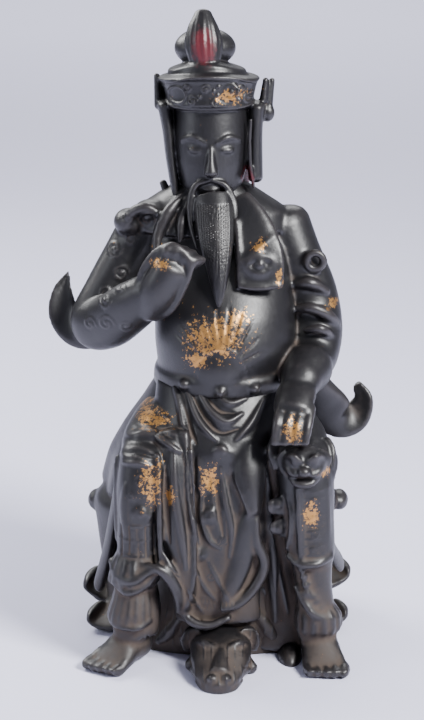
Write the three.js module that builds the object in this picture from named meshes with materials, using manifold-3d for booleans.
// A cast bronze figure of a seated guardian, in one piece with its stool and the beast skin under its feet.
// Millimetres, +Z up, the figure faces -Y, and the origin is the middle of its footprint on the standing surface.

import * as THREE from "three";
import { SimplifyModifier } from "three/addons/modifiers/SimplifyModifier.js";
import { mergeVertices } from "three/addons/utils/BufferGeometryUtils.js";
import Module from "manifold-3d";

const wasm = await Module();
wasm.setup();

// Driving dimensions. The stations below are those of a figure 300 mm tall, and SCALE takes them to HEIGHT.
const HEIGHT = 300;
const SCALE = HEIGHT / 300;
const BRONZE = { color: 0x1c1b20, roughness: 0.42, metalness: 0.75 };

// How finely the forms are faceted: corners round a body mass, a limb and a fold, and facets left in the end.
const MASS_SIDES = 36;
const LIMB_SIDES = 18;
const FOLD_SIDES = 8;
const FACETS = 9800;

const FRONT = [0, -1, 0];
const UP = [0, 0, 1];

// A three.js geometry as a solid: only positions are kept, shared corners are merged, and it is turned to face out.
function solid(geometry) {
  const bare = geometry.index ? geometry.toNonIndexed() : geometry;
  const points = new THREE.BufferGeometry().setAttribute("position", bare.getAttribute("position"));
  const merged = mergeVertices(points, 1e-3);
  const position = merged.getAttribute("position").array;
  const index = merged.index.array;
  const corner = (i) => new THREE.Vector3().fromArray(position, 3 * index[i]);
  const triVerts = [];
  let volume = 0;
  for (let i = 0; i < index.length; i += 3) {
    const [a, b, c] = [index[i], index[i + 1], index[i + 2]];
    if (a === b || b === c || c === a) continue;
    triVerts.push(a, b, c);
    volume += corner(i).dot(corner(i + 1).cross(corner(i + 2)));
  }
  if (volume < 0) triVerts.reverse();
  return new wasm.Manifold(
    new wasm.Mesh({ numProp: 3, vertProperties: position, triVerts: new Uint32Array(triVerts) }),
  );
}

// A closed form through rings of corners, each end drawn to its middle.
function loft(rings) {
  const corners = [];
  const faces = [];
  const sides = rings[0].length;
  const middle = (ring) => ring.reduce((sum, p) => sum.add(p), new THREE.Vector3()).divideScalar(sides);
  rings.forEach((ring) => corners.push(...ring));
  corners.push(middle(rings[0]), middle(rings.at(-1)));
  const first = corners.length - 2;
  const lastRing = (rings.length - 1) * sides;
  for (let k = 0; k < sides; k++) {
    const next = (k + 1) % sides;
    faces.push(first, next, k, first + 1, lastRing + k, lastRing + next);
    for (let r = 0; r + 1 < rings.length; r++) {
      const [a, b] = [r * sides + k, r * sides + next];
      faces.push(a, b, b + sides, a, b + sides, a + sides);
    }
  }
  return new THREE.BufferGeometry()
    .setAttribute("position", new THREE.Float32BufferAttribute(corners.flatMap((p) => p.toArray()), 3))
    .setIndex(faces);
}

// A form swept along stations [x, y, z, half width, half depth], its depth lying towards `face`.
// swell(angle, t) scales the ring, rise(angle, t) carries it along the path and cup(across, t) towards
// `face`, where across runs from -1 to 1. Round ends are domed, and the rings of a level form stay horizontal.
function form(stations, options = {}) {
  const { face = FRONT, sides = LIMB_SIDES, steps = 3, square = 1, level = false, round = true } = options;
  const { swell, cup, rise } = options;
  const path = new THREE.CatmullRomCurve3(stations.map(([x, y, z]) => new THREE.Vector3(x, y, z)));
  const girth = new THREE.CatmullRomCurve3(stations.map(([, , , a, b]) => new THREE.Vector3(a, b, 0)));
  const count = (stations.length - 1) * steps;
  const towards = new THREE.Vector3(...face);
  const ring = (t, shrink, push) => {
    const { x: halfWidth, y: halfDepth } = girth.getPoint(t);
    const along = level ? new THREE.Vector3(...UP) : path.getTangent(t);
    const out = towards.clone().addScaledVector(along, -towards.dot(along)).normalize();
    const side = along.clone().cross(out);
    const centre = path.getPoint(t).addScaledVector(along, push * Math.min(halfWidth, halfDepth));
    return Array.from({ length: sides }, (_, k) => {
      const angle = (2 * Math.PI * k) / sides;
      const size = shrink * (swell ? swell(angle, t) : 1);
      const across = Math.sign(Math.cos(angle)) * Math.abs(Math.cos(angle)) ** square;
      const deep = Math.sign(Math.sin(angle)) * Math.abs(Math.sin(angle)) ** square;
      return centre
        .clone()
        .addScaledVector(side, across * halfWidth * size)
        .addScaledVector(out, deep * halfDepth * size + (cup ? cup(across * shrink, t) : 0))
        .addScaledVector(along, rise ? rise(angle, t) : 0);
    });
  };
  const rings = Array.from({ length: count + 1 }, (_, i) => ring(i / count, 1, 0));
  if (round) {
    rings.unshift(ring(0, 0.5, -0.55), ring(0, 0.85, -0.3));
    rings.push(ring(1, 0.85, 0.3), ring(1, 0.5, 0.55));
  }
  return solid(loft(rings));
}

// A raised fold or rim laid along points, thinner towards its ends.
function fold(points, thick, { taper = 0.5, ...options } = {}) {
  const last = points.length - 1;
  const stations = points.map((point, i) => {
    const size = thick * (1 - (1 - taper) * ((2 * i) / last - 1) ** 2);
    return [...point, size, size];
  });
  return form(stations, { sides: FOLD_SIDES, ...options });
}

// A closed ring of cord through points.
function loop(points, thick) {
  const path = new THREE.CatmullRomCurve3(points.map((p) => new THREE.Vector3(...p)), true);
  return solid(new THREE.TubeGeometry(path, points.length * 4, thick, FOLD_SIDES, true));
}

// A flat ring of cord facing forwards.
function rosette([x, y, z], radius, thick) {
  const geometry = new THREE.TorusGeometry(radius, thick, FOLD_SIDES, 16);
  return solid(geometry.rotateX(Math.PI / 2).translate(x, y, z));
}

function ball([x, y, z], [a, b, c], { turn = [0, 0, 0], sides = 16, rings = 10 } = {}) {
  const geometry = new THREE.SphereGeometry(1, sides, rings);
  geometry.rotateX(Math.PI / 2).scale(a, b, c);
  geometry.applyMatrix4(new THREE.Matrix4().makeRotationFromEuler(new THREE.Euler(...turn)));
  return solid(geometry.translate(x, y, z));
}

// Points on the front of an upright form, each given as [x, z], standing proud by a little.
function onFront(stations, spots, proud) {
  return spots.map(([x, z]) => {
    const above = stations.findIndex((station) => station[2] > z);
    const [low, high] = [stations[above - 1], stations[above]];
    const t = (z - low[2]) / (high[2] - low[2]);
    const [cx, cy, , halfWidth, halfDepth] = low.map((value, i) => value + (high[i] - value) * t);
    return [x, cy - halfDepth * Math.sqrt(Math.max(0, 1 - ((x - cx) / halfWidth) ** 2)) - proud, z];
  });
}

const ribs = (number, depth) => (angle) => 1 + depth * Math.cos(number * angle);

// Upright masses that relief is laid on, each from its lower end upwards.
const TORSO = [
  [4, 24, 84, 35, 30],
  [5, 20, 106, 30, 31],
  [5, 17, 122, 31, 32.5],
  [5.5, 16, 126, 33.5, 36.5],
  [6, 15, 132, 33.5, 36.5],
  [6, 14, 135, 32, 34],
  [6.5, 13, 146, 33.5, 34],
  [6, 14, 160, 33, 31.5],
  [5, 18, 176, 32, 26],
  [3, 23, 191, 32, 20],
  [1, 27, 203, 28, 15],
];
const HEAD = [
  [-0.5, 21, 204, 6, 9],
  [-0.5, 23, 210, 11, 14],
  [-0.5, 25, 219, 15, 18],
  [-0.5, 26, 230, 17.4, 19.5],
  [-0.5, 27, 241, 18.2, 20],
  [-0.5, 28, 258, 17, 18.5],
];
const CROWN = [
  [-1, 27, 254, 18.5, 20.5],
  [-1, 27, 256, 21, 23],
  [-1, 27, 258.5, 20.6, 22.4],
  [-1.2, 27, 266, 22.4, 22.8],
  [-1.4, 27, 267.6, 23.8, 24.5],
  [-1.6, 27, 268.6, 21.5, 21.5],
  [-2, 27, 269.2, 18.6, 19.6],
  [-2.4, 27, 271.4, 18.2, 19.2],
  [-2.6, 27, 273.6, 13, 14.5],
];
const SKIRT = [
  [3, -30, 20, 20, 7.5],
  [2, -29, 36, 21, 9],
  [3, -27, 54, 23, 10.5],
  [4, -22, 74, 26, 14],
  [5, -14, 94, 31, 18],
  [5, -2, 108, 33, 26],
];

// The stool: a waisted drum with a boss at each side of its edge.
function stool() {
  const drum = form(
    [
      [0, 28, -2, 52, 40],
      [-0.5, 28, 14, 52, 38],
      [-1, 28, 34, 54, 38],
      [1, 28, 50, 58, 41],
      [1.5, 28, 60, 59.5, 42],
      [3, 28, 74, 50, 37],
    ],
    { sides: MASS_SIDES, level: true, round: false },
  );
  const boss = (x) => ball([x, 34, 57], [4.6, 8, 5]);
  return [drum, boss(-57), boss(63)];
}

// The torso and round belly with the belt, its studs and the rising sun.
function torso() {
  const studs = onFront(TORSO, [[-13, 131], [4, 129], [20, 130]], 0.6);
  const [x, z] = [4.2, 138];
  const at = (angle, radius) => [x + radius * Math.cos(angle), z + radius * Math.sin(angle)];
  const rays = Array.from({ length: 9 }, (_, i) => {
    const angle = Math.PI * (0.07 + (0.86 * i) / 8);
    const spots = [14, 22, 29].map((radius) => at(angle, radius));
    return fold(onFront(TORSO, spots, 0.2), 1.1);
  });
  return [
    form(TORSO, { sides: MASS_SIDES, level: true, round: false }),
    ...studs.map((p) => ball(p, [2.6, 2.6, 2.6])),
    ball([x, -15.5, z], [12.5, 6.6, 12], { sides: 24, rings: 16 }),
    ...rays,
  ];
}

// The robe from the waist down over the stool, and its train behind, in falling folds.
function robe() {
  const gown = form(
    [
      [4.5, 18, 128, 30, 29],
      [2.5, 22, 114, 36, 32],
      [2.5, 26, 99, 45.5, 35],
      [2.5, 28, 84, 53, 39],
      [2.5, 29, 68, 57, 42.5],
    ],
    { sides: 72, level: true, swell: (angle, t) => 1 + 0.04 * t * Math.cos(7 * angle + 1), round: false },
  );
  const train = form([[3, 46, 92, 34, 14], [3, 52, 60, 40, 14], [3, 56, 20, 42, 14], [3, 56, -4, 43, 14]], {
    sides: 60,
    level: true,
    swell: ribs(10, 0.035),
    round: false,
  });
  return [gown, train];
}

// Thighs, shins with their bands, ruffles and cuffs, and the skirt hanging between them.
function legs() {
  const left = form([[-12, 26, 102, 22, 19], [-20, 4, 103, 20, 17], [-28, -14, 101, 15, 14], [-32, -24, 96, 11, 12]], {
    face: UP,
  });
  const right = form([[20, 26, 102, 22, 19], [31, 4, 103, 20, 17], [39, -14, 101, 16, 15], [42, -25, 96, 13, 13]], {
    face: UP,
  });
  const leftShin = form(
    [
      [-38, -34, 15, 8.5, 8.5],
      [-38, -34, 20, 10.5, 11],
      [-36.5, -34, 32, 10, 10],
      [-36, -33, 36, 8, 8],
      [-36, -33, 41, 12, 12],
      [-35, -32, 50, 10, 11.5],
      [-34.5, -31, 55, 9.2, 10],
      [-34, -29, 70, 9.4, 11],
      [-33, -27, 88, 10.4, 13],
      [-32, -24, 101, 10.6, 13.5],
    ],
    { level: true },
  );
  const rightShin = form(
    [
      [49.5, -32, 14, 10, 9.5],
      [49.5, -32, 20, 11, 11],
      [48.5, -32, 23, 8.4, 9],
      [47.5, -32, 36, 8.4, 8.6],
      [46.5, -31, 50, 9.8, 9.8],
      [46, -31, 54, 11.6, 12],
      [44.5, -29, 72, 12.2, 12.4],
      [43, -27, 90, 13.4, 14],
      [42, -24, 102, 13, 14.5],
    ],
    { level: true },
  );
  return [left, right, leftShin, rightShin, form(SKIRT, { sides: MASS_SIDES, level: true, round: false })];
}

// A bare foot: its body, and five toes fanned across its front from the big one on the inner side.
function foot(heel, toe, spread, inner) {
  const [from, to] = [new THREE.Vector2(...heel), new THREE.Vector2(...toe)];
  const along = to.clone().sub(from).normalize();
  const over = new THREE.Vector2(-along.y * inner, along.x * inner);
  const station = (t, z, wide, high) => {
    const p = from.clone().lerp(to, t);
    return [p.x, p.y, z, wide, high];
  };
  const body = [station(0, 8, 7.5, 8), station(0.4, 7, 8.5, 7.5), station(0.75, 4.5, spread * 0.9, 5), station(1, 3, spread, 3.8)];
  const toes = [-1, -0.45, 0.02, 0.48, 0.9].map((place, i) => {
    const length = [6.2, 5.2, 4.8, 4.4, 4][i];
    const width = [3, 2.3, 2.2, 2.1, 2][i];
    const p = to.clone().addScaledVector(over, -place * spread * 0.78).addScaledVector(along, 2.4 - Math.abs(place) * 1.6);
    const turn = [0, 0, Math.atan2(along.y, along.x) + Math.PI / 2 + place * inner * 0.25];
    return ball([p.x, p.y, 2.6], [width, length, 2.8], { turn });
  });
  return [form(body, { face: UP }), ...toes];
}

// The head with a calm, plainly proportioned face, whiskers and the long ribbed beard.
function head() {
  const nose = form([[-0.5, 9, 239, 1.6, 2.2], [-0.5, 6, 231, 2.2, 2.8], [-0.5, 4.6, 226.5, 3.4, 3.2]]);
  const brow = (s) => fold(onFront(HEAD, [[-0.5 + 2.5 * s, 240], [-0.5 + 8 * s, 242.5], [-0.5 + 14 * s, 240.5]], 0), 1.5);
  const eye = (s) => ball(onFront(HEAD, [[-0.5 + 7.2 * s, 236.5]], -0.6)[0], [3.6, 1.8, 1.7], { turn: [0, 0, 0.35 * s] });
  const lips = fold(onFront(HEAD, [[-4.5, 219], [-0.5, 218.4], [3.5, 219]], -0.2), 1.6);
  const whisker = (points) => fold(points, 1.8, { taper: 0.4 });
  const beard = form(
    [
      [3.2, -15, 168, 1, 1.2],
      [3.2, -13, 175, 3.2, 3],
      [2.8, -9.5, 186, 5.8, 4.5],
      [2, -4.5, 197, 8, 5.5],
      [1, 2, 207, 9, 6],
      [-0.3, 8, 215, 9, 6],
    ],
    { sides: 72, swell: ribs(18, 0.05), round: false },
  );
  return [
    form(HEAD, { sides: MASS_SIDES, level: true }),
    nose,
    brow(-1),
    brow(1),
    eye(-1),
    eye(1),
    lips,
    whisker([[-1, 6.4, 223], [-7.5, 7, 220.5], [-10, 6, 213], [-9.6, 3, 203], [-7, -3, 193]]),
    whisker([[0, 6.4, 223], [6, 7, 220.5], [10, 6.6, 213], [10.6, 1, 203], [12, -8, 182]]),
    beard,
    form([[-0.5, 28, 200, 14, 12], [-0.5, 28, 218, 13, 13]], { round: false }),
  ];
}

// The hat: crown band with its raised front, stepped top, bun, ribbed finial, side wings and hanging flaps.
function hat() {
  const lift = (angle, t) => (1.5 + 3 * t) * Math.max(0, Math.sin(angle)) ** 2;
  const finial = form(
    [
      [-2.6, 15, 272.5, 4, 4],
      [-3.2, 15.5, 278, 7.4, 6],
      [-3.9, 17, 285, 8.6, 7],
      [-4.1, 19, 292, 7, 6],
      [-4.1, 21, 297.6, 4.2, 4],
    ],
    { sides: 64, swell: ribs(16, 0.04) },
  );
  const [crest] = onFront(CROWN, [[8.6, 264]], 0);
  const scroll = (x, z, s) => {
    const spots = [[x - 4 * s, z - 3], [x - 3 * s, z + 3], [x + 3 * s, z + 2], [x + 1 * s, z - 2]];
    return fold(onFront(CROWN, spots, 0), 1.4);
  };
  const finger = (x, y, z, high, lean) => {
    return form([[x, y, z, 2, 3], [x + lean, y, z + high, 1.3, 1.6]]);
  };
  const flap = (points, wide) => {
    const stations = points.map((p, i) => [...p, wide[i], 6.5 - 0.7 * i]);
    return form(stations);
  };
  return [
    form(CROWN, { sides: MASS_SIDES, level: true, rise: lift, round: false }),
    ball([-3.2, 30, 281.2], [14.4, 12.5, 9.2], { sides: 24, rings: 16 }),
    finial,
    rosette(crest, 3.2, 1.3),
    ball(crest, [1.8, 1.8, 1.8]),
    scroll(-12, 264, 1),
    scroll(-2.5, 266, -1),
    finger(-25, 27, 254, 15, -0.8),
    finger(-23.4, 32, 254, 12, -1.2),
    finger(24, 27, 257, 10, 1),
    finger(26.5, 29, 254, 12.5, 1.6),
    ball([26, 28, 251], [3.4, 3.4, 4.4]),
    flap([[-23.6, 27, 255], [-21.2, 26, 240], [-19.4, 25, 228], [-18.2, 24, 218]], [2.8, 3, 3, 2.6]),
    flap([[21.5, 27, 254], [21, 26, 240], [20.6, 25, 228], [20.4, 24, 220]], [3.4, 3.2, 3.6, 3.4]),
    form([[-0.5, 46, 256, 15, 5], [-0.5, 49, 236, 14, 5], [-0.5, 47, 214, 17, 5]], { round: false }),
    form([[-20, 26, 210, 2.4, 2.4], [-23.2, 28, 218, 1.8, 1.8]]),
  ];
}

// The arm that strokes the beard: full sleeve, leaf-shaped tail at the elbow, oval cuff and fist.
function leftArm() {
  const sleeve = form(
    [
      [-31, 31, 195, 13.5, 14],
      [-39.5, 28, 181, 12.5, 14],
      [-49.5, 23, 164, 12, 14],
      [-56, 17, 152.5, 11.5, 13],
      [-49, 8, 155, 10.6, 13],
      [-37, -4, 166, 10.2, 12],
      [-28, -11, 174, 9, 10],
    ],
    { face: [0, -0.5, 1] },
  );
  const leaf = form(
    [
      [-52, 20, 147, 8, 7],
      [-64, 23, 146.5, 8.6, 6],
      [-71, 26, 154.5, 8, 3.6],
      [-71.6, 29, 165, 5, 2.4],
      [-68.6, 31, 174, 0.7, 0.8],
    ],
    { cup: (across) => 3.5 * across * across - 3.5 },
  );
  const rim = loop(
    [
      [-25, -17, 195],
      [-32, -15, 185],
      [-33, -13, 174],
      [-29, -13, 164],
      [-21, -16, 165],
      [-13, -20, 178],
      [-10, -21, 190],
      [-17, -19, 198],
    ],
    1.8,
  );
  const palm = form([[-28, -10, 167, 8, 8], [-24, -16, 176, 9, 8], [-18, -18, 187, 9, 7]], { face: [0.2, -1, 0] });
  const finger = (i) => {
    const [x, z] = [-20 + 3.8 * i, 197.5 - 0.6 * i * i];
    return form([[x - 3, -18, z - 6, 2.2, 2.8], [x, -20, z - 1.5, 2.2, 2.6], [x + 5, -14, z - 2, 1.8, 2]], {
      face: UP,
      round: false,
    });
  };
  const thumb = form([[-18, -21, 184, 3, 3], [-5, -16, 190, 2, 2]]);
  return [
    sleeve,
    leaf,
    rim,
    palm,
    thumb,
    ...[0, 1, 2, 3].map(finger),
    ball([-28, 20, 206], [9, 9, 5.5]),
    ball([-39, 21, 200.5], [7.5, 9, 6.5]),
    fold([[-24, 11, 206], [-31, 11.5, 209], [-38, 14, 205], [-36, 14, 199]], 3),
    fold([[-57, 9, 163], [-50, 2, 158], [-42, -5, 154]], 3),
  ];
}

// The arm that rests on the knee: sleeve with its cuff bands, hand and curled sleeve tail.
function rightArm() {
  const sleeve = form(
    [
      [33, 31, 197, 14, 14],
      [39, 29, 182, 13.5, 15],
      [46, 26, 164, 14, 15.5],
      [49, 20, 148, 13.5, 15],
      [47.5, 10, 138.5, 12.5, 12],
      [46, 2, 136, 11, 10.5],
      [45, -3, 135.5, 11.8, 11.4],
      [42, -12, 133.5, 10.4, 9.8],
      [41, -16, 132.5, 9.6, 8.8],
      [39.6, -20, 131.5, 8, 6.5],
    ],
    { face: [0, -1, 0.6] },
  );
  const tail = form(
    [
      [45, 18, 121, 11, 8],
      [54.5, 24, 108.5, 12, 6.5],
      [62.5, 27, 101, 10, 5],
      [70, 30, 102, 8, 3.8],
      [73.6, 31, 110, 5.2, 3],
      [70.6, 32, 116.5, 2.6, 2.2],
    ],
    { face: [-0.5, -1, 0.2], cup: (across) => 2.4 * across * across - 2.4 },
  );
  const hand = form([[40, -16, 131, 8, 6], [38.5, -25, 128.5, 9.5, 6], [36.5, -33, 124, 9, 5.5]], { face: UP });
  const finger = (i) => {
    const x = 29 + 4.7 * i;
    return form([[x + 2.4, -31, 125, 2.5, 2.8], [x + 0.6, -39.5, 120.5 - 0.6 * i, 2.3, 2.5], [x - 0.8, -43, 110, 1.8, 1.8]], {
      face: [0, -1, 0.7],
      round: false,
    });
  };
  return [
    sleeve,
    tail,
    hand,
    ...[0, 1, 2, 3].map(finger),
    rosette([42, 15.6, 192], 4, 2),
    fold([[38, 13, 172], [46, 11, 173], [55, 14, 168]], 3),
    fold([[39, 9, 161], [47, 6, 162], [55, 8, 158], [60, 14, 152]], 3),
    fold([[43, 4, 152], [51, 2, 153], [57, 8, 148]], 2.6),
  ];
}

// Collar over the shoulders and the bordered lapel panel with its cloud motif.
function collar() {
  const cape = form([[-0.3, 27, 220, 14, 15], [-0.5, 27, 212.5, 26, 17], [-0.5, 26, 205, 36, 19], [0, 24, 196, 36, 20.5]], {
    sides: MASS_SIDES,
    level: true,
    round: false,
  });
  const panel = form([[22, -7, 176.5, 10, 4], [21.6, -4, 190, 10, 4], [18, 4, 205, 8, 4], [13, 11, 214, 5, 4]], {
    square: 0.5,
    round: false,
  });
  const even = { taper: 0.9 };
  return [
    cape,
    panel,
    fold([[12.4, -10, 177], [12.4, -7, 190], [11, 1, 206]], 1.6, even),
    fold([[12, -10.4, 176.6], [22, -10.8, 176], [32, -9.6, 176.6]], 1.6, { ...even, face: UP }),
    fold([[31.6, -8.6, 176.5], [31.4, -6, 190], [26, 1.6, 205], [17, 9, 215]], 1.8, even),
    fold([[29, -3.4, 199], [22, -6.6, 194], [13, -8.6, 187.5]], 1.6, even),
    loop([[15.6, -9, 186], [21, -8.6, 190.6], [28.4, -8, 187.6], [22.5, -10, 182.4]], 1.4),
    ball([22, -9, 186.6], [2.3, 2.4, 2.3]),
    fold([[-13, 14, 215], [-20, 9, 208], [-25, 7, 198], [-26, 3, 188]], 3),
    fold([[-10, 12, 213], [-14, 7, 204], [-15, 4, 194]], 2.4),
  ];
}

// Draped cloth and knots over the lap and down the front.
function drapery() {
  const bosses = onFront(SKIRT, [[4.6, 102], [-0.9, 72], [-5.1, 54]], 0.4);
  const sash = form(
    [
      [21, -25, 107, 4, 3.4],
      [17.5, -29, 98, 6, 4],
      [17, -32, 88, 5.4, 4],
      [17.6, -33.5, 76, 3, 3.4],
      [17.4, -34.5, 62, 3.6, 3.4],
      [13, -36.5, 46, 4.6, 3.6],
      [7, -38.5, 33, 3.4, 3],
    ],
    {},
  );
  const drape = form([[-19, -28, 106, 7, 5], [-18.5, -34, 88, 6.6, 4.6], [-17.4, -37, 64, 7.4, 4.6], [-15.6, -40.5, 36, 7, 4]], {
    sides: 30,
    swell: ribs(5, 0.08),
  });
  return [
    fold([[-24, -6, 126], [-14, -15, 118], [4, -22, 111], [17, -20, 114], [27, -10, 122]], 4),
    fold([[-26, -10, 120], [-18, -19, 111], [-6, -27, 105], [8, -28, 103]], 3),
    ...bosses.map((p) => rosette(p, 4, 1.3)),
    ...bosses.map((p) => ball(p, [1.9, 2, 1.9])),
    sash,
    drape,
    fold([[-16, -33, 32], [-8, -37, 24], [4, -37.5, 21], [18, -34, 27]], 2.8, { taper: 0.7 }),
    fold([[-23, -33, 106], [-23.4, -37, 90], [-23.6, -39, 56]], 1.8, { taper: 0.8 }),
    fold(onFront(SKIRT, [[-2, 96], [-4, 80], [2, 58], [3, 38]], 0.3), 2),
  ];
}

// Relief on the legs: the rosette and straps of the greaves and the mask at the knee.
function legRelief() {
  const even = { taper: 0.9 };
  return [
    rosette([-33.4, -38.6, 76], 4, 1.5),
    ball([-33.4, -38.6, 76], [2, 2, 2]),
    fold([[40.2, -40.5, 90], [41, -40.5, 72], [42.4, -41, 55]], 1.8, even),
    fold([[52.6, -36, 88], [53.4, -36, 72], [53, -36, 56]], 1.8, even),
    fold([[30.5, -34, 84], [34, -37.5, 87], [35.6, -38.5, 78], [33, -36, 72]], 2.6),
    ball([32, -36, 79], [2.8, 3, 2.8]),
    ball([42.5, -38, 101], [10, 7.5, 8], { sides: 20, rings: 12 }),
    ball([41.5, -45, 98], [4, 3.6, 3.4]),
    fold([[34, -40, 106], [38, -43.5, 104.5], [42, -43.5, 101.5], [47, -43, 104.5], [51, -39, 106]], 2.2),
    fold([[34, -40, 96], [38, -43.6, 94], [46, -43.4, 94], [50.5, -39.5, 96]], 2.2),
  ];
}

// The beast skin under the feet: the spread hide, its head on the ground and the tails of cloth at the sides.
function beast() {
  const hide = form([[4, -2, -4, 49, 25], [4, -3, 6, 46, 25], [4, -5, 18, 40, 26], [4, -6, 42, 32, 23]], {
    sides: MASS_SIDES,
    level: true,
    round: false,
  });
  const skull = form(
    [
      [4, -24, 7, 13, 10],
      [4.2, -38, 7.5, 13.5, 9],
      [4.2, -49, 6, 13, 8],
      [3.8, -58, 4.6, 9.6, 6.6],
      [2.6, -68, 3, 7.4, 4.4],
    ],
    { face: UP },
  );
  const jowl = (x, y, s) => form([[x - 6 * s, y + 4, 5, 5, 5], [x, y, 2, 3, 3]], { face: UP });
  const ear = (x, s) => {
    return form([[x, -32, 6, 4.6, 2.8], [x + 0.6 * s, -34, 12, 5.2, 2.4], [x + s, -34.5, 15.5, 3.4, 1.8]], {
      round: false,
      cup: (across) => 1.8 * across * across - 1.2,
    });
  };
  const curl = (points, wide) => {
    const stations = points.map((p, i) => [...p, wide * (1 - 0.16 * i), 4.6 - 0.7 * i]);
    return form(stations, { face: [0, -0.3, 1], cup: (across) => 2 * across * across });
  };
  return [
    hide,
    skull,
    jowl(-10.5, -44, -1),
    jowl(19, -47, 1),
    ear(-8, -1),
    ear(16.5, 1),
    ball([-1.9, -50.5, 10], [2.6, 2.6, 2]),
    ball([10.7, -50.5, 10], [2.6, 2.6, 2]),
    fold([[-8, -43, 12], [-2, -48, 13.4], [4.3, -53, 10.4], [10.6, -48, 13.4], [16.6, -43, 12]], 1.9, { face: UP }),
    ball([2.8, -68.4, 6.4], [4.4, 3, 2.4]),
    fold([[-7, -55, 1.6], [-4, -66, 2.4], [2.6, -70, 1.8], [9.4, -66, 2.4], [14, -55, 1.6]], 1.7, { face: UP }),
    curl([[-42, 34, 20], [-53, 34, 9], [-59, 33, 12], [-61, 32, 18]], 15),
    curl([[-38, 8, 14], [-50, 8, 5], [-56, 8, 5], [-58.5, 8, 9]], 14),
    curl([[46, 34, 22], [57, 36, 15], [63.5, 36, 17], [66.5, 36, 22]], 14),
    curl([[46, 14, 14], [57, 12, 4], [62, 12, 5], [64.5, 12, 9]], 12),
    ball([37, -27, 0], [7, 17, 8]),
  ];
}

const pieces = [
  ...stool(),
  ...torso(),
  ...robe(),
  ...legs(),
  ...foot([-35, -28], [-49.5, -45], 11.5, -1),
  ...foot([50, -26], [52.6, -49.5], 11, 1),
  ...head(),
  ...hat(),
  ...leftArm(),
  ...rightArm(),
  ...collar(),
  ...drapery(),
  ...legRelief(),
  ...beast(),
];
const below = solid(new THREE.BoxGeometry(400, 400, 100).translate(0, 0, -50));
const figure = pieces.reduce((whole, piece) => whole.add(piece)).subtract(below);
const { vertProperties, triVerts } = figure.getMesh();
const full = new THREE.BufferGeometry()
  .setAttribute("position", new THREE.BufferAttribute(vertProperties, 3))
  .setIndex(new THREE.BufferAttribute(triVerts, 1));
// A closed mesh has half as many corners as facets, and the thinning is told how many corners to take away.
const spare = full.getAttribute("position").count - FACETS / 2;
const geometry = await new SimplifyModifier().modify(full, spare);
geometry.scale(SCALE, SCALE, SCALE);
const guardian = new THREE.Mesh(geometry, new THREE.MeshStandardMaterial(BRONZE));
guardian.name = "guardian_figure";
const group = new THREE.Group();
group.add(guardian);

export default group;
